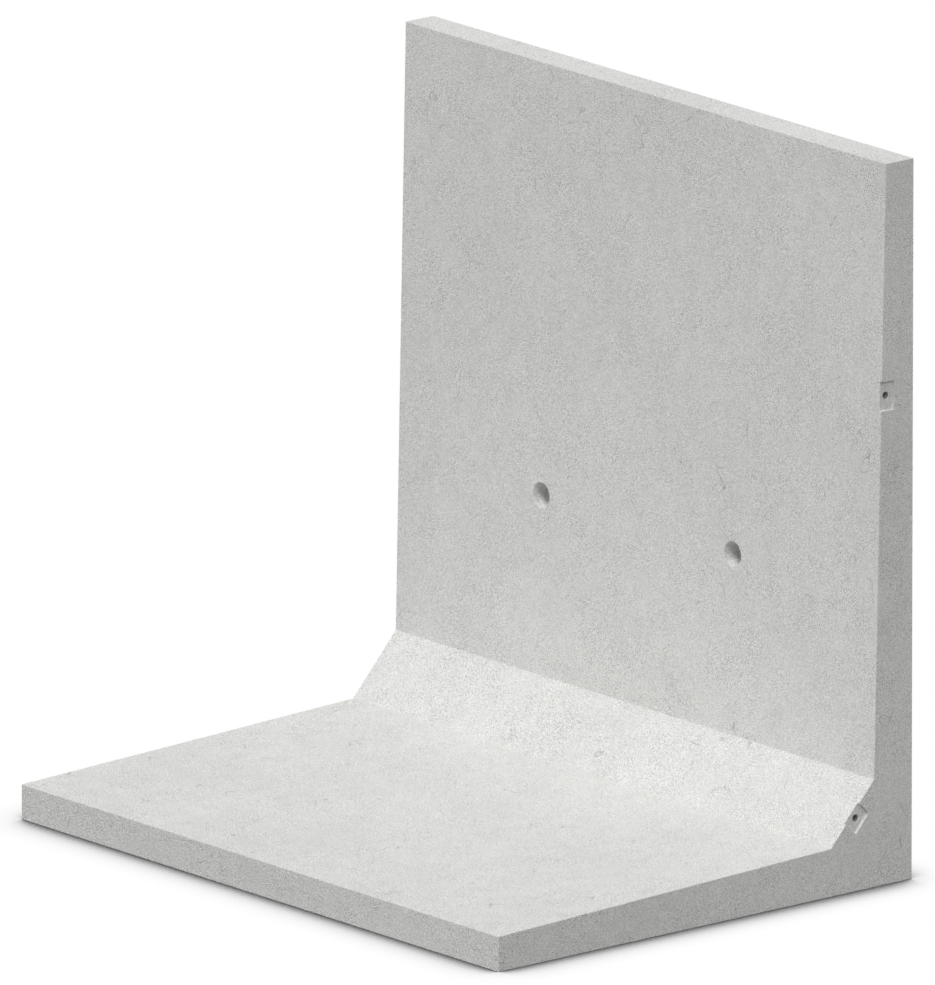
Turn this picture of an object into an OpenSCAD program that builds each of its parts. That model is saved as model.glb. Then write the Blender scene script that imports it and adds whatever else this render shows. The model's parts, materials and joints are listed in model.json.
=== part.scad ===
// Precast L-shaped retaining wall element.
// A monolithic concrete casting: a tapered upright stem, a tapered base slab (the foot) and a
// haunch that stiffens the corner between them. Two round lifting holes pass through the stem.
// The right end face, which is up while the element is cast, has two shallow pockets, each with a
// cast-in threaded steel socket to lift and turn the element by. The left end face is plain.
// Frame: X runs along the wall, +Y points to the exposed outer face, +Z is up.
// The origin is on the ground, under the middle of the element's outline.

/* [Overall size] */
// Length of the element along the wall
wall_length = 2000; // [1200:10:3000]
// Height of the stem above the ground
wall_height = 2000; // [1600:10:3000]
// Depth of the foot, from its free edge (toe) to the stem's outer face
foot_depth = 1450; // [700:10:2400]

/* [Stem] */
// Thickness of the stem at its top
stem_top_thickness = 98; // [70:1:130]
// Thickness of the stem where it meets the haunch
stem_root_thickness = 134; // [132:1:200]

/* [Foot] */
// Thickness of the foot at its free edge
toe_thickness = 98; // [70:1:130]
// Thickness of the foot where it meets the haunch
foot_root_thickness = 134; // [132:1:200]

/* [Haunch] */
// Height of the haunch's upper edge above the ground
haunch_top_height = 300; // [260:5:450]
// Distance of the haunch's lower edge from the stem's outer face
haunch_foot_distance = 285; // [260:5:450]

/* [Lifting holes] */
// Diameter of each lifting hole
lifting_hole_diameter = 70; // [40:1:100]
// Distance between the axes of the two lifting holes
lifting_hole_spacing = 800; // [300:10:1000]
// Height of the lifting holes above the ground
lifting_hole_height = 800; // [600:10:960]

/* [Anchor pockets] */
// Depth of each pocket into the end face
pocket_depth = 8; // [4:1:20]
// Height of the upper pocket's middle above the ground
upper_pocket_height = 1357; // [1100:1:1450]
// Length of the upper pocket along the stem's inner face
upper_pocket_length = 80; // [50:1:120]
// Reach of the upper pocket into the stem's thickness
upper_pocket_reach = 45; // [38:1:56]
// Length of the lower pocket along the haunch
lower_pocket_length = 68; // [50:1:120]
// Reach of the lower pocket into the concrete behind the haunch
lower_pocket_reach = 48; // [38:1:56]

/* [Threaded sockets] */
// Nominal diameter of the lifting bolt that screws into a socket
bolt_diameter = 20; // [12:1:24]
// Wall thickness of a socket outside its thread
socket_wall = 3.5; // [2:0.5:5]
// Depth of a socket's threaded bore
socket_bore_depth = 60; // [30:1:100]
// Thickness of a socket's closed inner end
socket_end_thickness = 6; // [3:1:12]
// Width of the chamfer round a socket's mouth
socket_mouth_chamfer = 1.8; // [0.5:0.1:1.8]

/* [Hidden] */

CONCRETE = "#C6C7C4";
ZINC_STEEL = "#8E9092";
ROUND_SIDES = 96;
// How far a cutting tool runs past the surface that it cuts.
overcut = 10;

outer_y = foot_depth / 2;
toe_y = -foot_depth / 2;

// Corners of the cross-section, as [y, z], from the outer heel round to the top of the stem.
heel_corner = [outer_y, 0];
toe_bottom_corner = [toe_y, 0];
toe_top_corner = [toe_y, toe_thickness];
haunch_lower_edge = [outer_y - haunch_foot_distance, foot_root_thickness];
haunch_upper_edge = [outer_y - stem_root_thickness, haunch_top_height];
stem_inner_top_corner = [outer_y - stem_top_thickness, wall_height];
stem_outer_top_corner = [outer_y, wall_height];

// The point a share of the way from a to b.
function between(a, b, share) = a + (b - a) * share;
// The angle of the line from a up to b, from the +Y direction.
function slope_angle(a, b) = atan2(b[1] - a[1], b[0] - a[0]);
// The point at that height on the stem's inner face.
function on_inner_face(z) = between(
    haunch_upper_edge, stem_inner_top_corner,
    (z - haunch_top_height) / (wall_height - haunch_top_height));

// A pocket is [its middle on the inner surface, the surface's angle, its length, its reach].
upper_pocket = [
    on_inner_face(upper_pocket_height),
    slope_angle(haunch_upper_edge, stem_inner_top_corner),
    upper_pocket_length, upper_pocket_reach];
lower_pocket = [
    between(haunch_lower_edge, haunch_upper_edge, 1 / 2),
    slope_angle(haunch_lower_edge, haunch_upper_edge),
    lower_pocket_length, lower_pocket_reach];

// The middle of a pocket's floor, as [y, z]: half its reach behind the surface.
function socket_centre(pocket) =
    pocket[0] + pocket[3] / 2 * [sin(pocket[1]), -cos(pocket[1])];

socket_outer_radius = bolt_diameter / 2 + socket_wall;
socket_length = socket_bore_depth + socket_end_thickness;

// Places a child that points along +Z so that it points into the concrete from the right end face.
module at_end_face(centre, inset) {
    translate([wall_length / 2 - inset, centre[0], centre[1]])
        rotate([0, -90, 0])
            children();
}

// The cross-section, extruded along the wall.
module plain_casting() {
    rotate([90, 0, 90])
        linear_extrude(height = wall_length, center = true)
            polygon([
                heel_corner, stem_outer_top_corner, stem_inner_top_corner,
                haunch_upper_edge, haunch_lower_edge, toe_top_corner, toe_bottom_corner]);
}

// One round hole through the stem, at x along the wall.
module lifting_hole(x) {
    hole_length = stem_root_thickness + 2 * overcut;
    translate([x, outer_y + overcut, lifting_hole_height])
        rotate([90, 0, 0])
            cylinder(h = hole_length, d = lifting_hole_diameter, $fn = ROUND_SIDES);
}

// The block that a pocket's former leaves free at the right end face, open to the inner surface.
module pocket_space(pocket) {
    translate([wall_length / 2 - pocket_depth, pocket[0][0], pocket[0][1]])
        rotate([pocket[1], 0, 0])
            translate([0, -pocket[2] / 2, -pocket[3]])
                cube([pocket_depth + overcut, pocket[2], pocket[3] + overcut]);
}

// The seat that a socket fills in the concrete behind its pocket.
module socket_seat(pocket) {
    at_end_face(socket_centre(pocket), pocket_depth - overcut)
        cylinder(h = socket_length + overcut, r = socket_outer_radius, $fn = ROUND_SIDES);
}

// The concrete, in one piece.
module concrete_wall() {
    color(CONCRETE)
        difference() {
            plain_casting();
            for (x = [-1, 1] * lifting_hole_spacing / 2)
                lifting_hole(x);
            for (pocket = [upper_pocket, lower_pocket]) {
                pocket_space(pocket);
                socket_seat(pocket);
            }
        }
}

// A cast-in sleeve with a blind threaded bore; its mouth is flush with the pocket's floor.
module threaded_socket(pocket) {
    bore_radius = bolt_diameter / 2;
    mouth_radius = bore_radius + socket_mouth_chamfer;
    color(ZINC_STEEL)
        at_end_face(socket_centre(pocket), pocket_depth)
            difference() {
                cylinder(h = socket_length, r = socket_outer_radius, $fn = ROUND_SIDES);
                translate([0, 0, -overcut])
                    cylinder(h = socket_bore_depth + overcut, r = bore_radius, $fn = ROUND_SIDES);
                // The cone passes through the mouth's edge and ends on the bore.
                translate([0, 0, -socket_mouth_chamfer])
                    cylinder(
                        h = 2 * socket_mouth_chamfer,
                        r1 = mouth_radius + socket_mouth_chamfer, r2 = bore_radius,
                        $fn = ROUND_SIDES);
            }
}

concrete_wall();
threaded_socket(upper_pocket);  // upper_socket
threaded_socket(lower_pocket);  // lower_socket
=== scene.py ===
# %% [markdown]
# # A precast L-shaped retaining wall element
#
# The object is one heavy concrete casting. It has a tapered upright stem, a tapered foot, a haunch in
# the corner between them and two lifting holes. In its right end face two shallow pockets each hold a
# steel socket for a lifting bolt. The solid model fixes every size. This script gives it its looks:
# arrises that are a little soft and nicked, air holes, cut threads in the sockets, concrete and zinc.

# %% Tools and the fixed frame
import json
import math

import bmesh
import bpy
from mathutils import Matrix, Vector


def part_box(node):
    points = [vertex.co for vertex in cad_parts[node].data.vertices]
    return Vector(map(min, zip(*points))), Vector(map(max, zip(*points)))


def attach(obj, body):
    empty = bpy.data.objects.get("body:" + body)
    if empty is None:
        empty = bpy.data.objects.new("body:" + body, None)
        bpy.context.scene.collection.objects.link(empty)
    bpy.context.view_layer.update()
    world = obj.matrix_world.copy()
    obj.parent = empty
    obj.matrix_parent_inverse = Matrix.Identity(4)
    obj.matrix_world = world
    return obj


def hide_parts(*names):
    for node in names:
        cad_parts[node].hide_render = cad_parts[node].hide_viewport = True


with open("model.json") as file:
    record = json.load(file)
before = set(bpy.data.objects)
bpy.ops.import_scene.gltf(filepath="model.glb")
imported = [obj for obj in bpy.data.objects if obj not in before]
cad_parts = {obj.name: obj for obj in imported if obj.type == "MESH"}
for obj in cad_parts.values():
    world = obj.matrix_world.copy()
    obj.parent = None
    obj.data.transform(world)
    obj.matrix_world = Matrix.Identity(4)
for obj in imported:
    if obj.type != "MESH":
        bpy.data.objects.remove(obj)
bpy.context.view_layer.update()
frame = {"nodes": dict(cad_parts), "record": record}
MM = 0.001

# %% [markdown]
# ## Values that behave like numbers
#
# Nodes are easier to read as sums than as chains of boxes. `Wire` wraps an output socket, so that
# `1 - mask * 0.3` adds the Math nodes that it says.

# %% Wire
class Wire:
    """An output socket on which Python's arithmetic adds Math nodes."""

    def __init__(self, tree, socket):
        self.tree = tree
        self.socket = socket

    def math(self, operation, *values):
        sockets = dict(enumerate(values))
        return self.tree.add("ShaderNodeMath", sockets, operation=operation)

    def __add__(self, other):
        return self.math("ADD", self, other)

    def __radd__(self, other):
        return self.math("ADD", other, self)

    def __sub__(self, other):
        return self.math("SUBTRACT", self, other)

    def __rsub__(self, other):
        return self.math("SUBTRACT", other, self)

    def __mul__(self, other):
        return self.math("MULTIPLY", self, other)

    def __rmul__(self, other):
        return self.math("MULTIPLY", other, self)

    def __truediv__(self, other):
        return self.math("DIVIDE", self, other)

    def __neg__(self):
        return self.math("MULTIPLY", self, -1.0)

    def power(self, exponent):
        return self.math("POWER", self, exponent)

    def smooth_steps(self, low, high):
        """0 below low, 1 above high, and a soft slope between them."""
        sockets = {"Value": self, "From Min": low, "From Max": high}
        return self.tree.add("ShaderNodeMapRange", sockets, interpolation_type="SMOOTHSTEP")


# %% [markdown]
# `Tree` adds any other node in one call: its type, its settings, and what goes into its sockets. A
# socket that takes several wires is given them as `Several`. Both classes serve materials and
# geometry.

# %% Tree
class Several(list):
    """Several wires that go into one socket."""


class Tree:
    """Adds nodes to a node tree, each in one call."""

    def __init__(self, node_tree):
        self.node_tree = node_tree

    def add(self, kind, sockets=None, output=0, stops=None, choices=0, **settings):
        node = self.node_tree.nodes.new(kind)
        for name, value in settings.items():
            setattr(node, name, value)
        for _ in range(choices):
            node.index_switch_items.new()
        if stops:
            fill_ramp(node.color_ramp, stops)
        for name, value in (sockets or {}).items():
            self.feed(node.inputs[name], value)
        return Wire(self, node.outputs[output])

    def feed(self, socket, value):
        for one in value if isinstance(value, Several) else [value]:
            if isinstance(one, Wire):
                self.node_tree.links.new(one.socket, socket)
            else:
                socket.default_value = one

    def output_of(self, wire, name):
        """Another output of the node that a wire comes from."""
        return Wire(self, wire.socket.node.outputs[name])

    def vector(self, operation, *vectors):
        return self.add("ShaderNodeVectorMath", dict(enumerate(vectors)), operation=operation)

    def xyz(self, x=0.0, y=0.0, z=0.0):
        return self.add("ShaderNodeCombineXYZ", {"X": x, "Y": y, "Z": z})

    def mix_colour(self, factor, a, b):
        """Socket 0 of a Mix node is its factor; 6 and 7 are its colours, and output 2 is the result."""
        sockets = {0: factor, 6: a, 7: b}
        return self.add("ShaderNodeMix", sockets, output=2, data_type="RGBA", blend_type="MIX")


def fill_ramp(ramp, stops):
    while len(ramp.elements) < len(stops):
        ramp.elements.new(1.0)
    for element, (position, value) in zip(ramp.elements, stops):
        element.position = position
        element.color = (value, value, value, 1.0)


# %% [markdown]
# ## Reading the section out of the solid model
#
# The casting has one cross-section along its whole length. Its seven corners are the places where a
# sharp edge runs from one end face to the other. They are found on a merged copy of the solid's mesh,
# so the visible casting follows the solid model if that ever changes.

# %% The section's corners
SHARP = math.radians(5)
TOUCH = 0.01 * MM
EYE_INSET = 50 * MM


def merged_copy(node):
    """A bmesh of a frame node with its loose triangles joined."""
    copy = bmesh.new()
    copy.from_mesh(frame["nodes"][node].data)
    bmesh.ops.remove_doubles(copy, verts=copy.verts, dist=TOUCH)
    return copy


def section_corners():
    """The (y, z) corners of the section, sorted round a point in the heel that sees all of them."""
    casting = merged_copy("concrete_wall")
    found = set()
    for edge in casting.edges:
        a, b = (v.co for v in edge.verts)
        runs_along = abs(abs(a.x - b.x) - wall_length) < TOUCH and (a - b).yz.length < TOUCH
        if runs_along and edge.calc_face_angle(0) > SHARP:
            found.add((round(a.y, 6), round(a.z, 6)))
    casting.free()
    eye_y = outer_y - EYE_INSET
    eye_z = EYE_INSET
    return sorted(found, key=lambda c: math.atan2(c[1] - eye_z, c[0] - eye_y) % math.tau)


lowest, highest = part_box("concrete_wall")
wall_length, foot_depth, wall_height = highest - lowest
outer_y = highest.y
corners = section_corners()
print(len(corners), "corners (y, z):", corners)

# %% [markdown]
# ## Reading the pockets and sockets
#
# A socket's own box gives the plane of its pocket's floor, its axis and its outer radius. The four
# floor corners of the pocket lie in that plane, and their spread along the inner surface and behind
# it gives the pocket's length and reach.

# %% Pocket sizes
def yz_line(start, end):
    """The unit vectors along a line of the section and away from the concrete, and its tilt."""
    along = Vector((0.0, end[0] - start[0], end[1] - start[1])).normalized()
    outward = Vector((1.0, 0.0, 0.0)).cross(along)
    return along, outward, math.atan2(along.z, along.y)


def spread(points, direction):
    shares = [p.dot(direction) for p in points]
    return max(shares) - min(shares)


def measure_pocket(socket_node, start, end):
    """What the cutters of a pocket and of its socket's seat need."""
    low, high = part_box(socket_node)
    axis = Vector((0.0, (low.y + high.y) / 2, (low.z + high.z) / 2))
    radius = (high.z - low.z) / 2
    along, outward, tilt = yz_line(start, end)
    casting = merged_copy("concrete_wall")
    floor_corners = []
    for vertex in casting.verts:
        from_axis = (vertex.co.yz - axis.yz).length
        if abs(vertex.co.x - high.x) < TOUCH and radius + MM < from_axis < 5 * radius:
            floor_corners.append(vertex.co.copy())
    casting.free()
    return {
        "axis": axis, "outward": outward, "tilt": tilt, "radius": radius,
        "depth": wall_length / 2 - high.x, "socket_length": high.x - low.x,
        "length": spread(floor_corners, along), "reach": spread(floor_corners, outward)}


def floor_of(pocket):
    """The x of a pocket's floor."""
    return wall_length / 2 - pocket["depth"]


outer_top, inner_top, haunch_top, haunch_foot, toe_top, toe_bottom, heel = corners
pockets = {
    "upper": measure_pocket("upper_socket", haunch_top, inner_top),
    "lower": measure_pocket("lower_socket", haunch_foot, haunch_top)}

for name, pocket in pockets.items():
    sizes = [round(pocket[key] / MM, 1) for key in ("length", "reach", "depth", "radius")]
    print(name, "pocket's length, reach, depth and socket radius in mm:", sizes)

# %% [markdown]
# ## Materials
#
# Every pattern reads Object coordinates in metres, so a Scale of 300 makes a grain of about 3 mm on
# every face. Noise is made on a square lattice, whose rows would show as stripes on a flat face, so
# the patterns read coordinates that are turned askew. `Finish` is a Tree on a material. It knows the
# few textures that the finishes share.

# %% Finish
ASKEW_TURN = (0.62, 0.45, 0.91)


class Finish(Tree):
    """A material's tree, with the textures that the finishes share."""

    def __init__(self, name):
        self.material = bpy.data.materials.new(name)
        self.material.use_nodes = True
        super().__init__(self.material.node_tree)
        self.shader = self.node_tree.nodes["Principled BSDF"]
        self.place = self.add("ShaderNodeTexCoord", output=3)
        askew = {"Vector": self.place, "Rotation": ASKEW_TURN}
        self.askew = self.add("ShaderNodeMapping", askew)

    def noise(self, scale, detail=2.0):
        """Noise between 0 and 1, around 0.5."""
        sockets = {"Vector": self.askew, "Scale": scale, "Detail": detail}
        return self.add("ShaderNodeTexNoise", sockets)

    def cells(self, scale):
        """How far a point is from the middle of its cell, in cells."""
        return self.add("ShaderNodeTexVoronoi", {"Vector": self.askew, "Scale": scale})

    def surface(self, **values):
        """Sets the shader's sockets, whose names are given with underscores."""
        for name, value in values.items():
            self.feed(self.shader.inputs[name.replace("_", " ")], value)

    def bump(self, height, distance):
        sockets = {"Height": height, "Distance": distance, "Strength": 1.0}
        return self.add("ShaderNodeBump", sockets)


# %% [markdown]
# ## Pale cast concrete
#
# A smooth steel mould leaves a skin of cement paste. Up close it is a fine salt-and-pepper grain, a
# little stronger in some patches. Over it lie soft clouds where the paste dried unevenly, some dark
# and pale specks of sand, and a few short hairlines, thin as a thread, where the skin shrank. All of
# these push one value, the tone, up or down, and the tone picks a colour between dark and pale paste.

# %% Concrete: grain and clouds
PALE_PASTE = (0.953, 0.956, 0.935, 1.0)
DARK_PASTE = (0.250, 0.252, 0.243, 1.0)
PLAIN_TONE = 0.725
CLOUD_DEPTH = 0.18
BLOTCH_DEPTH = 0.16
CRUMB_DEPTH = 0.13
LEAST_GRAIN = 1.6
BUSY_GRAIN = 1.3

concrete = Finish("Pale cast concrete")
clouds = concrete.noise(2.6, 4.0) - 0.5
blotches = concrete.noise(17.0, 3.0) - 0.5
crumbs = concrete.noise(90.0, 2.0) - 0.5
grain = concrete.noise(360.0, 2.0) - 0.5
busy = concrete.noise(9.0, 3.0).smooth_steps(0.38, 0.66)
tone = PLAIN_TONE + clouds * CLOUD_DEPTH + blotches * BLOTCH_DEPTH + crumbs * CRUMB_DEPTH
tone = tone + grain * (LEAST_GRAIN + busy * BUSY_GRAIN)

# %% Concrete: specks
SAND_SCALE = 95.0
DARK_SPECK_DEPTH = 0.22
PALE_SPECK_DEPTH = 0.10
sand = concrete.cells(SAND_SCALE)
lot = concrete.add("ShaderNodeSeparateColor", {"Color": concrete.output_of(sand, "Color")})
near_grain = 1.0 - sand.smooth_steps(0.10, 0.22)
dark_specks = near_grain * lot.smooth_steps(0.80, 0.82)
pale_specks = near_grain * (1.0 - lot.smooth_steps(0.12, 0.14))
tone = tone - dark_specks * DARK_SPECK_DEPTH + pale_specks * PALE_SPECK_DEPTH

# %% [markdown]
# A hairline is where a slow noise passes through its middle value. That draws long winding curves, and
# a second noise shows only short stretches of them.

# %% Concrete: hairlines
HAIRLINE_WIDTH = 0.004
HAIRLINE_DEPTH = 0.26
winding = concrete.noise(3.4, 3.0) - 0.5
thin = 1.0 - winding.math("ABSOLUTE", winding).smooth_steps(0.0, HAIRLINE_WIDTH)
shown = concrete.noise(15.0, 2.0).smooth_steps(0.52, 0.60)
hairlines = thin * shown
tone = tone - hairlines * HAIRLINE_DEPTH

# %% Concrete: shader
CONCRETE_RELIEF = 1.4 * MM
colour = concrete.mix_colour(tone, DARK_PASTE, PALE_PASTE)
height = grain + crumbs - dark_specks * 0.4 - hairlines * 0.5
concrete.surface(
    Base_Color=colour,
    Roughness=0.86 + clouds * 0.3,
    Normal=concrete.bump(height, CONCRETE_RELIEF),
    Specular_IOR_Level=0.25)

# %% [markdown]
# ## Dull zinc
#
# The sockets are zinc-plated, and fresh concrete has etched them to a pale grey that hardly shines.
# Their skin is barely metallic, with faint blotches. Everything further in than the chamfer of the
# mouth is painted darker: painted shade down the threaded bore.

# %% Zinc
PALE_ZINC = (0.74, 0.745, 0.73, 1.0)
DULL_ZINC = (0.66, 0.665, 0.65, 1.0)
ETCHED_ZINC = (0.45, 0.45, 0.45, 1.0)
# Painted shade: the dark colour that the bore takes beyond the chamfer of the mouth.
BORE_SHADE_COLOUR = (0.28, 0.28, 0.27, 1.0)
BORE_SHADE_FROM = 1.6 * MM
BORE_SHADE_FULL = 3.0 * MM
ZINC_RELIEF = 0.1 * MM

zinc = Finish("Dull zinc-plated steel")
etch = zinc.noise(260.0, 3.0)
stain = zinc.noise(60.0, 2.0).smooth_steps(0.35, 0.7)
plated = zinc.mix_colour(stain, PALE_ZINC, DULL_ZINC)
etched = zinc.mix_colour(etch * 0.3, plated, ETCHED_ZINC)
# Painted shade down the bore: the colour darkens from just inside the mouth's chamfer inward.
far_in = floor_of(pockets["upper"]) - zinc.add("ShaderNodeSeparateXYZ", {"Vector": zinc.place})
painted_bore_shade = far_in.smooth_steps(BORE_SHADE_FROM, BORE_SHADE_FULL)
zinc.surface(
    Base_Color=zinc.mix_colour(painted_bore_shade, etched, BORE_SHADE_COLOUR),
    Metallic=0.25 - stain * 0.2,
    Roughness=0.5 + etch * 0.3,
    Normal=zinc.bump(etch, ZINC_RELIEF))

# %% [markdown]
# ## Geometry Nodes helpers
#
# `geometry_tree` makes an empty tree with named inputs. `add_tree` puts a tree on an object as a
# modifier and sets its inputs by identifier. `make_plain` keeps what the modifiers make as a plain
# mesh, and removes them.

# %% Geometry Nodes helpers
SOCKET_OF = {
    float: "NodeSocketFloat", int: "NodeSocketInt", Vector: "NodeSocketVector",
    bpy.types.Material: "NodeSocketMaterial"}


def geometry_tree(name, values):
    """A new tree with one input for each named value, and the wires that those inputs give."""
    group = bpy.data.node_groups.new(name, "GeometryNodeTree")
    group.interface.new_socket("Geometry", in_out="INPUT", socket_type="NodeSocketGeometry")
    group.interface.new_socket("Geometry", in_out="OUTPUT", socket_type="NodeSocketGeometry")
    for key, value in values.items():
        group.interface.new_socket(key, in_out="INPUT", socket_type=SOCKET_OF[type(value)])
    tree = Tree(group)
    start = group.nodes.new("NodeGroupInput")
    return tree, {socket.name: Wire(tree, socket) for socket in start.outputs if socket.name}


def end_tree(tree, geometry, material):
    """Ends a tree with plain geometry, with no instances left in it, in one material."""
    real = tree.add("GeometryNodeRealizeInstances", {"Geometry": geometry})
    finished = tree.add("GeometryNodeSetMaterial", {"Geometry": real, "Material": material})
    end = tree.node_tree.nodes.new("NodeGroupOutput")
    tree.feed(end.inputs["Geometry"], finished)


def add_tree(piece, tree, values):
    """Puts the tree on the piece as a modifier and sets its inputs."""
    modifier = piece.modifiers.new(tree.node_tree.name, "NODES")
    modifier.node_group = tree.node_tree
    for item in tree.node_tree.interface.items_tree:
        if item.in_out == "INPUT" and item.name in values:
            modifier[item.identifier] = values[item.name]


def empty_piece(name):
    piece = bpy.data.objects.new(name, bpy.data.meshes.new(name))
    bpy.context.scene.collection.objects.link(piece)
    return piece


def make_plain(piece):
    """Replaces a piece's mesh by what its modifiers make of it, and removes them."""
    graph = bpy.context.evaluated_depsgraph_get()
    made = bpy.data.meshes.new_from_object(piece.evaluated_get(graph))
    piece.modifiers.clear()
    piece.data = made
    made.name = piece.name


def moved(tree, geometry, place=(0.0, 0.0, 0.0), turn=(0.0, 0.0, 0.0)):
    sockets = {"Geometry": geometry, "Translation": place, "Rotation": turn}
    return tree.add("GeometryNodeTransform", sockets)


def joined(tree, *geometries):
    return tree.add("GeometryNodeJoinGeometry", {"Geometry": Several(geometries)})


def cut(tree, body, cutters, solver="EXACT"):
    sockets = {"Mesh 1": body, "Mesh 2": Several(cutters)}
    return tree.add("GeometryNodeMeshBoolean", sockets, operation="DIFFERENCE", solver=solver)


def cylinder(tree, radius, depth, sides):
    sockets = {"Vertices": sides, "Radius": radius, "Depth": depth}
    return tree.add("GeometryNodeMeshCylinder", sockets)


# %% [markdown]
# ## The casting
#
# The real element is poured in one steel mould, so its shape follows a rule: a seven-cornered section,
# pushed along the wall, less what the mould's plugs leave free. Geometry Nodes say that rule in a few
# steps, with every size as a named input. A seven-sided face takes the section's corners, Extrude
# Mesh draws it out, and a Boolean takes away the lifting holes and pockets.

# %% The casting's rule
casting_sizes = {
    "Material": concrete.material,
    "Wall Length": wall_length, "Wall Height": wall_height, "Foot Depth": foot_depth,
    "Stem Top Thickness": outer_y - inner_top[0],
    "Stem Root Thickness": outer_y - haunch_top[0],
    "Toe Thickness": toe_top[1], "Foot Root Thickness": haunch_foot[1],
    "Haunch Top Height": haunch_top[1],
    "Haunch Foot Distance": outer_y - haunch_foot[0]}


def section_face(tree, size):
    """A seven-sided face with the section's corners, at the wall's left-hand end."""
    outer = size["Foot Depth"] / 2.0
    places = [
        (outer, 0.0),
        (outer, size["Wall Height"]),
        (outer - size["Stem Top Thickness"], size["Wall Height"]),
        (outer - size["Stem Root Thickness"], size["Haunch Top Height"]),
        (outer - size["Haunch Foot Distance"], size["Foot Root Thickness"]),
        (-outer, size["Toe Thickness"]),
        (-outer, 0.0)]
    left = size["Wall Length"] / -2.0
    sockets = {"Index": tree.add("GeometryNodeInputIndex")}
    for number, (y, z) in enumerate(places):
        sockets[str(number)] = tree.xyz(left, y, z)
    spare = len(places) - 2
    corner = tree.add("GeometryNodeIndexSwitch", sockets, choices=spare, data_type="VECTOR")
    face = tree.add("GeometryNodeMeshCircle", {"Vertices": len(places)}, fill_type="NGON")
    return tree.add("GeometryNodeSetPosition", {"Geometry": face, "Position": corner})


def drawn_out(tree, face, length):
    """The closed body that a face leaves when it is pushed along the wall."""
    sockets = {"Mesh": face, "Offset": (1.0, 0.0, 0.0), "Offset Scale": length, "Individual": False}
    sides = tree.add("GeometryNodeExtrudeMesh", sockets, mode="FACES")
    cap = tree.add("GeometryNodeFlipFaces", {"Mesh": face})
    return tree.add("GeometryNodeMergeByDistance", {"Geometry": joined(tree, sides, cap)})


# %% [markdown]
# The lifting holes and the pockets are places in the record and in the measured pockets. A pocket's
# plug is a block that stands half outside the end face and a little outside the inner surface, so
# that no face of it lies in a face of the casting.

# %% The mould's plugs
mounts = {mount["name"]: mount for mount in frame["record"]["mounts"]}
lifting = mounts["right_lifting_hole"]
OVERCUT = 20 * MM
LIFTING_SIDES = 96
casting_sizes["Lifting Diameter"] = 2 * lifting["dims"]["r_mm"] * MM
casting_sizes["Lifting Offset"] = lifting["pos_m"][0]
casting_sizes["Lifting Height"] = lifting["pos_m"][2]
for name, pocket in pockets.items():
    middle = pocket["axis"] + pocket["outward"] * OVERCUT / 2
    plug = Vector((2 * pocket["depth"], pocket["length"], pocket["reach"] + OVERCUT))
    casting_sizes[f"{name.title()} Plug Middle"] = middle
    casting_sizes[f"{name.title()} Plug Turn"] = Vector((pocket["tilt"], 0.0, 0.0))
    casting_sizes[f"{name.title()} Plug Size"] = plug


def lifting_plugs(tree, size):
    length = size["Stem Root Thickness"] + 2 * OVERCUT
    place = tree.xyz(0.0, size["Foot Depth"] / 2.0 + OVERCUT - length / 2.0, size["Lifting Height"])
    plug = cylinder(tree, size["Lifting Diameter"] / 2.0, length, LIFTING_SIDES)
    upright = moved(tree, plug, place, (math.pi / 2, 0.0, 0.0))
    offset = size["Lifting Offset"]
    return [moved(tree, upright, tree.xyz(x=side * offset)) for side in (1.0, -1.0)]


def pocket_plug(tree, size, name):
    block = tree.add("GeometryNodeMeshCube", {"Size": size[f"{name} Plug Size"]})
    placed = moved(tree, block, size[f"{name} Plug Middle"], size[f"{name} Plug Turn"])
    return moved(tree, placed, tree.xyz(x=size["Wall Length"] / 2.0))


casting_tree, size = geometry_tree("Casting", casting_sizes)
body = drawn_out(casting_tree, section_face(casting_tree, size), size["Wall Length"])
plugs = [
    *lifting_plugs(casting_tree, size),
    pocket_plug(casting_tree, size, "Upper"),
    pocket_plug(casting_tree, size, "Lower")]
end_tree(casting_tree, cut(casting_tree, body, plugs), size["Material"])

# %% [markdown]
# ## Soft arrises
#
# Concrete never fills the last corner of a mould, and a dead sharp arris would crumble. The element
# shows straight, crisp edges, so they are rounded by only a millimetre and a half. A Bevel modifier
# limited by angle finds the sharp edges and leaves the facets of the round holes alone.

# %% The casting with soft arrises
ARRIS_WIDTH = 1.5 * MM
ARRIS_TURN = math.radians(30)
concrete_casting = empty_piece("concrete_casting")
add_tree(concrete_casting, casting_tree, casting_sizes)
arris = concrete_casting.modifiers.new("Soft arrises", "BEVEL")
arris.width = ARRIS_WIDTH
arris.segments = 2
arris.limit_method = "ANGLE"
arris.angle_limit = ARRIS_TURN
make_plain(concrete_casting)


def open_edges(mesh):
    """How many edges don't have exactly two faces; a closed body has none."""
    check = bmesh.new()
    check.from_mesh(mesh)
    count = sum(len(edge.link_faces) != 2 for edge in check.edges)
    check.free()
    return count


print("casting:", len(concrete_casting.data.polygons), "faces,",
      open_edges(concrete_casting.data), "open edges")

# %% [markdown]
# ## Small damage: seats, nicks and air holes
#
# A second tree works on the softened casting. It first drills the seats of the two steel sockets.
# Then it takes small irregular bites out of the arrises: the edges are found by their angle, walked
# in even steps, and a few of the points are chosen at random. Last come the air holes that bubbles
# leave on a cast face. Every bite is a ball with a lumpy surface, so one shape serves for all.

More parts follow.
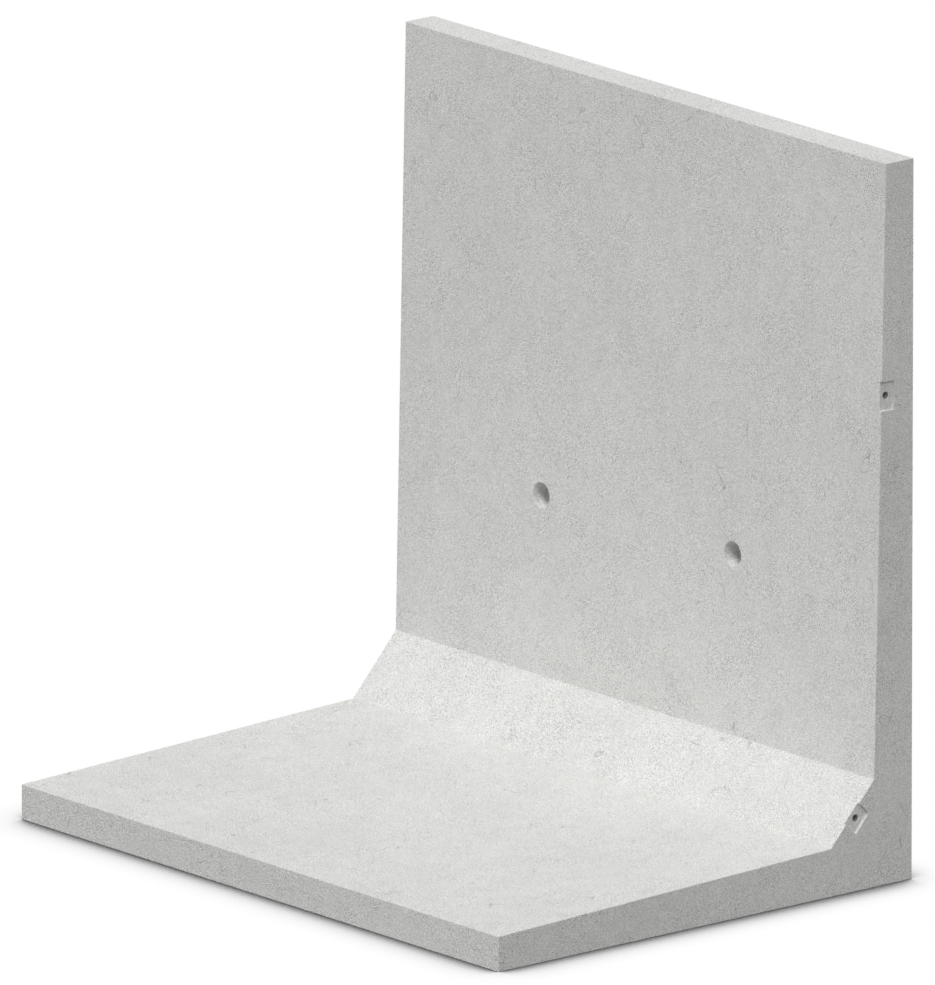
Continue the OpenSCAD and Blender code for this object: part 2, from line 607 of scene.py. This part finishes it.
# %% The wear tree
SEAT_CLEARANCE = 0.1 * MM
SEAT_SIDES = 64
NICKED_TURN = math.radians(20)
STEEP_BELOW = 0.8
wear_sizes = {
    "Material": concrete.material,
    "Nick Step": 10 * MM, "Nick Share": 0.02, "Least Nick": 0.8 * MM, "Most Nick": 3.2 * MM,
    "Air Holes Per Area": 70.0, "Least Air Hole": 0.5 * MM, "Most Air Hole": 2.4 * MM, "Seed": 7}
for name, pocket in pockets.items():
    length = pocket["socket_length"] + OVERCUT
    wear_sizes[f"{name.title()} Seat Axis"] = pocket["axis"]
    wear_sizes[f"{name.title()} Seat Radius"] = pocket["radius"] + SEAT_CLEARANCE
    wear_sizes[f"{name.title()} Seat Length"] = length
    wear_sizes[f"{name.title()} Seat Offset"] = floor_of(pocket) + OVERCUT - length / 2


def socket_seat(tree, size, name):
    bar = cylinder(tree, size[f"{name} Seat Radius"], size[f"{name} Seat Length"], SEAT_SIDES)
    lying = moved(tree, bar, size[f"{name} Seat Axis"], (0.0, math.pi / 2, 0.0))
    return moved(tree, lying, tree.xyz(x=size[f"{name} Seat Offset"]))


def random_number(tree, low, high, seed):
    """Sockets 2, 3 and 8 of a float Random Value node are its least, its most and its seed."""
    sockets = {2: low, 3: high, 8: seed}
    return tree.add("FunctionNodeRandomValue", sockets, output=1, data_type="FLOAT")


def random_turn(tree, seed):
    sockets = {0: (0.0, 0.0, 0.0), 1: (math.tau, math.tau, math.tau), 8: seed}
    return tree.add("FunctionNodeRandomValue", sockets, data_type="FLOAT_VECTOR")


def lumpy_ball(tree):
    """A unit ball with dents and bumps of about a third of its radius."""
    ball = tree.add("GeometryNodeMeshIcoSphere", {"Radius": 1.0, "Subdivisions": 2})
    lumps = tree.add("ShaderNodeTexNoise", {"Scale": 0.9, "Detail": 1.0})
    normal = tree.add("GeometryNodeInputNormal")
    offset = tree.vector("MULTIPLY", normal, tree.xyz(*[lumps * 1.3 - 0.65] * 3))
    return tree.add("GeometryNodeSetPosition", {"Geometry": ball, "Offset": offset})


def bites(tree, points, least, most, seed, chosen=None):
    """Lumpy balls on the points, many small and few large."""
    share = random_number(tree, 0.0, 1.0, seed + 1)
    scale = least + (most - least) * share.power(3.0)
    sockets = {
        "Points": points, "Instance": lumpy_ball(tree), "Rotation": random_turn(tree, seed + 2),
        "Scale": tree.xyz(scale, scale, scale)}
    if chosen:
        sockets["Selection"] = chosen
    return tree.add("GeometryNodeInstanceOnPoints", sockets)


def nicks(tree, body, size):
    """Bites at a few of the even steps along every edge that turns by more than NICKED_TURN."""
    angle = tree.add("GeometryNodeInputMeshEdgeAngle")
    sharp = angle.math("GREATER_THAN", angle, NICKED_TURN)
    edges = tree.add("GeometryNodeMeshToCurve", {"Mesh": body, "Selection": sharp})
    sockets = {"Curve": edges, "Length": size["Nick Step"]}
    steps = tree.add("GeometryNodeCurveToPoints", sockets, mode="LENGTH")
    chance = {6: size["Nick Share"], 8: size["Seed"]}
    chosen = tree.add("FunctionNodeRandomValue", chance, output=3, data_type="BOOLEAN")
    return bites(tree, steps, size["Least Nick"], size["Most Nick"], size["Seed"], chosen)


def air_holes(tree, body, size):
    """Bites on the faces that the mould's walls formed: the upright ones and the haunch."""
    normal = tree.add("GeometryNodeInputNormal")
    z = tree.add("ShaderNodeSeparateXYZ", {"Vector": normal}, output=2)
    formed = z.math("LESS_THAN", z.math("ABSOLUTE", z), STEEP_BELOW)
    seed = size["Seed"] + 10
    sockets = {
        "Mesh": body, "Selection": formed, "Density": size["Air Holes Per Area"], "Seed": seed}
    points = tree.add("GeometryNodeDistributePointsOnFaces", sockets)
    return bites(tree, points, size["Least Air Hole"], size["Most Air Hole"], seed)


wear_tree, size = geometry_tree("Wear", wear_sizes)
softened = size["Geometry"]
seats = [socket_seat(wear_tree, size, "Upper"), socket_seat(wear_tree, size, "Lower")]
seated = cut(wear_tree, softened, seats, "MANIFOLD")
damage = [nicks(wear_tree, softened, size), air_holes(wear_tree, softened, size)]
end_tree(wear_tree, cut(wear_tree, seated, damage, "MANIFOLD"), size["Material"])

# %% [markdown]
# The surfaces of the casting are flat, and its bites are rough, so only the round holes want smooth
# shading. Every edge that turns by more than 12 degrees is marked sharp, and all faces are smooth.

# %% The worn casting
SMOOTH_BELOW = math.radians(12)


def shade(piece):
    """Smooth faces, with sharp edges where the surface turns."""
    mesh = piece.data
    mesh.shade_smooth()
    mesh.set_sharp_from_angle(angle=SMOOTH_BELOW)


add_tree(concrete_casting, wear_tree, wear_sizes)
make_plain(concrete_casting)
shade(concrete_casting)
print("worn casting:", len(concrete_casting.data.polygons), "faces,",
      open_edges(concrete_casting.data), "open edges")

# %% [markdown]
# ## Threaded sockets
#
# Each pocket has a steel sleeve that is cast in with its mouth flush with the pocket's floor. A 20 mm
# bolt screws into it to lift the element. Its thread is a rule too: going round once moves on by one
# pitch. So a finely divided cylinder gets a radius that depends on its height and its angle. That
# gives a solid with the shape of the bolt, and taking it out of the sleeve leaves the thread.

# %% The socket tree
socket_mount = mounts["upper_anchor_hole"]
socket_sizes = {
    "Material": zinc.material,
    "Thread Diameter": 2 * socket_mount["dims"]["r_mm"] * MM, "Pitch": 2.5 * MM,
    "Thread Height": 1.35 * MM, "Bore Depth": 60 * MM, "Mouth Chamfer": 1.8 * MM,
    "Outer Radius": pockets["upper"]["radius"], "Length": pockets["upper"]["socket_length"],
    "Place": Vector(), "Turn": Vector((0.0, -math.pi / 2, 0.0))}
THREAD_SIDES = 48
STEPS_A_PITCH = 6
THREAD_TURNS = 26


def bolt_shape(tree, size):
    """A solid rod with an outside thread, from above the mouth down to the bore's end."""
    steps = THREAD_TURNS * STEPS_A_PITCH
    length = size["Pitch"] * THREAD_TURNS
    sockets = {
        "Vertices": THREAD_SIDES, "Side Segments": steps, "Radius": 1.0, "Depth": length}
    rod = tree.add("GeometryNodeMeshCylinder", sockets)
    place = tree.add("GeometryNodeInputPosition")
    split = tree.add("ShaderNodeSeparateXYZ", {"Vector": place})
    x, y, z = (tree.output_of(split, axis) for axis in "XYZ")
    turn = x.math("ARCTAN2", y, x) / math.tau
    phase = z / size["Pitch"] - turn
    groove = phase.math("PINGPONG", phase, 0.5) * 2.0
    deep = size["Thread Diameter"] / 2.0
    radius = deep - size["Thread Height"] * (1.0 - groove.smooth_steps(0.1, 0.9))
    across = tree.vector("MULTIPLY", place, tree.xyz(radius, radius, 1.0))
    threaded = tree.add("GeometryNodeSetPosition", {"Geometry": rod, "Position": across})
    return moved(tree, threaded, tree.xyz(z=size["Bore Depth"] - length / 2.0))


def mouth_cone(tree, size):
    """A cone that flares the mouth: its top stands over the mouth and its tip is in the bore."""
    wide = size["Thread Diameter"] / 2.0 + size["Mouth Chamfer"] * 2.0
    height = size["Mouth Chamfer"] * 4.0
    sockets = {
        "Vertices": SEAT_SIDES, "Radius Top": wide - height, "Radius Bottom": wide,
        "Depth": height}
    cone = tree.add("GeometryNodeMeshCone", sockets)
    return moved(tree, cone, tree.xyz(z=-size["Mouth Chamfer"]))


socket_tree, size = geometry_tree("Threaded socket", socket_sizes)
sleeve = cylinder(socket_tree, size["Outer Radius"], size["Length"], SEAT_SIDES)
sleeve = moved(socket_tree, sleeve, socket_tree.xyz(z=size["Length"] / 2.0))
tools = [bolt_shape(socket_tree, size), mouth_cone(socket_tree, size)]
threaded = cut(socket_tree, sleeve, tools, "MANIFOLD")
placed = moved(socket_tree, threaded, size["Place"], size["Turn"])
end_tree(socket_tree, placed, size["Material"])

# %% [markdown]
# Both sockets come from the one tree, each at its own axis. They are set back a little from their
# pockets' floors, so that no face of steel lies in a face of concrete.

# %% The two sockets
SOCKET_RECESS = 0.2 * MM
sockets = {}
for name, pocket in pockets.items():
    piece = empty_piece(f"steel_{name}_socket")
    mouth_x = floor_of(pocket) - SOCKET_RECESS
    socket_sizes["Place"] = pocket["axis"] + Vector((mouth_x, 0.0, 0.0))
    add_tree(piece, socket_tree, socket_sizes)
    make_plain(piece)
    shade(piece)
    sockets[f"{name}_socket"] = piece
    print(piece.name, len(piece.data.polygons), "faces,", open_edges(piece.data), "open edges")

# %% [markdown]
# Each visible piece takes the place of one solid of the model, which is hidden, and stays on the
# only body.

# %% The pieces in the frame
def stands_for(piece, node):
    """Hides the solid that a piece is seen in place of, and puts the piece on the root body."""
    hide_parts(node)
    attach(piece, "root")


stands_for(concrete_casting, "concrete_wall")
for node, piece in sockets.items():
    stands_for(piece, node)

# %% [markdown]
# ## Floor
#
# The floor is plain and pale. What the camera sees of it is white, shaded only close to where the
# element stands: Ambient Occlusion looks for it within a short distance, and a ramp turns that into
# the soft contact shadow. It takes time, so it is left out far from the element, where it finds
# nothing. Every other ray meets a plain grey floor, which throws a little light back up.

# %% Floor
FLOOR_SIZE = 16.0
SHADOW_REACH = 0.15
FLOOR_GREY = (0.26, 0.26, 0.26, 1.0)
WHITE = (1.0, 1.0, 1.0, 1.0)


def seen_directly(tree):
    """1 for the camera and for what is mirrored or seen through, 0 for light that is gathered."""
    path = tree.add("ShaderNodeLightPath")
    seen = tree.output_of(path, "Is Camera Ray")
    for name in ("Is Glossy Ray", "Is Transmission Ray"):
        seen = seen.math("MAXIMUM", seen, tree.output_of(path, name))
    return seen


floor = empty_piece("floor")
half = FLOOR_SIZE / 2
floor.data.from_pydata(
    [(-half, -half, 0.0), (half, -half, 0.0), (half, half, 0.0), (-half, half, 0.0)], [],
    [(0, 1, 2, 3)])
floor_finish = Finish("White floor")
openness = floor_finish.add(
    "ShaderNodeAmbientOcclusion", {"Distance": SHADOW_REACH}, output=1, samples=8)
shadow = floor_finish.add(
    "ShaderNodeValToRGB", {"Fac": openness},
    stops=[(0.46, 0.0), (0.52, 0.12), (0.60, 0.38), (0.74, 0.78), (0.92, 1.0)])
shaded = floor_finish.add("ShaderNodeEmission", {"Color": shadow, "Strength": 1.0})
white = floor_finish.add("ShaderNodeEmission", {"Color": WHITE, "Strength": 1.0})
plain = floor_finish.add("ShaderNodeBsdfDiffuse", {"Color": FLOOR_GREY})
split = floor_finish.add("ShaderNodeSeparateXYZ", {"Vector": floor_finish.place})
beside = split.math("ABSOLUTE", split) - wall_length / 2
before = split.math("ABSOLUTE", floor_finish.output_of(split, "Y")) - foot_depth / 2
far_off = beside.math("GREATER_THAN", beside.math("MAXIMUM", beside, before), SHADOW_REACH)
lit = floor_finish.add("ShaderNodeMixShader", {0: far_off, 1: shaded, 2: white})
floor_shader = floor_finish.add(
    "ShaderNodeMixShader", {0: seen_directly(floor_finish), 1: plain, 2: lit})
floor_output = floor_finish.node_tree.nodes["Material Output"]
floor_finish.feed(floor_output.inputs["Surface"], floor_shader)
floor.data.materials.append(floor_finish.material)

# %% [markdown]
# ## Light
#
# Soft daylight from all round gives every face its base level. One wide lamp from high in front of
# the foot lifts the haunch most, then the faces that look up, then the stem. A second, narrower one
# from the right reaches the end face as well, and draws a short shadow under the pockets' top edges.
# A weak lamp behind keeps the outer face from looking flat.

# %% World and lamps
world = bpy.data.worlds.new("Soft daylight")
world.use_nodes = True
bpy.context.scene.world = world
sky = Tree(world.node_tree)
background = world.node_tree.nodes["Background"]
DAYLIGHT = (0.317, 0.317, 0.317, 1.0)
sky.feed(background.inputs["Color"],
         sky.mix_colour(seen_directly(sky), DAYLIGHT, WHITE))


def far_lamp(name, towards, level, width):
    """A sun whose light lifts a white face that looks straight at it by that level."""
    data = bpy.data.lights.new(name, "SUN")
    data.energy = level * math.pi
    data.angle = math.radians(width)
    lamp = bpy.data.objects.new(name, data)
    lamp.rotation_mode = "QUATERNION"
    lamp.rotation_quaternion = Vector(towards).to_track_quat("Z", "Y")
    bpy.context.scene.collection.objects.link(lamp)


far_lamp("high lamp", (0.0, -0.53, 0.848), 0.475, 30)
far_lamp("right lamp", (1.0, -0.61, 1.0), 0.26, 12)
far_lamp("back lamp", (0.0, 1.0, 0.08), 0.22, 20)

# %% [markdown]
# ## Camera
#
# The camera stands far away behind a very long lens, so that parallel edges stay parallel, as in a
# technical view. It looks from 50 degrees round to the right and 15 degrees up.

# %% Camera
AZIMUTH = math.radians(50)
ELEVATION = math.radians(15)
LENS = 1600.0
SENSOR = 36.0
VIEW_HEIGHT = 2.646
NUDGE_RIGHT = 5.1 * MM
NUDGE_UP = -6.4 * MM

back = Vector((
    math.sin(AZIMUTH) * math.cos(ELEVATION), -math.cos(AZIMUTH) * math.cos(ELEVATION),
    math.sin(ELEVATION)))
right = Vector((math.cos(AZIMUTH), math.sin(AZIMUTH), 0.0))
up = back.cross(right)
distance = VIEW_HEIGHT * LENS / SENSOR
aim = (lowest + highest) / 2 + right * NUDGE_RIGHT + up * NUDGE_UP
camera_data = bpy.data.cameras.new("camera")
camera_data.lens = LENS
camera_data.sensor_width = SENSOR
camera_data.clip_end = 2 * distance
camera = bpy.data.objects.new("camera", camera_data)
camera.location = aim + back * distance
camera.rotation_mode = "QUATERNION"
camera.rotation_quaternion = back.to_track_quat("Z", "Y")
bpy.context.scene.collection.objects.link(camera)
bpy.context.scene.camera = camera
bpy.context.scene.view_settings.view_transform = "Standard"
print("camera distance:", round(distance, 2), "m")
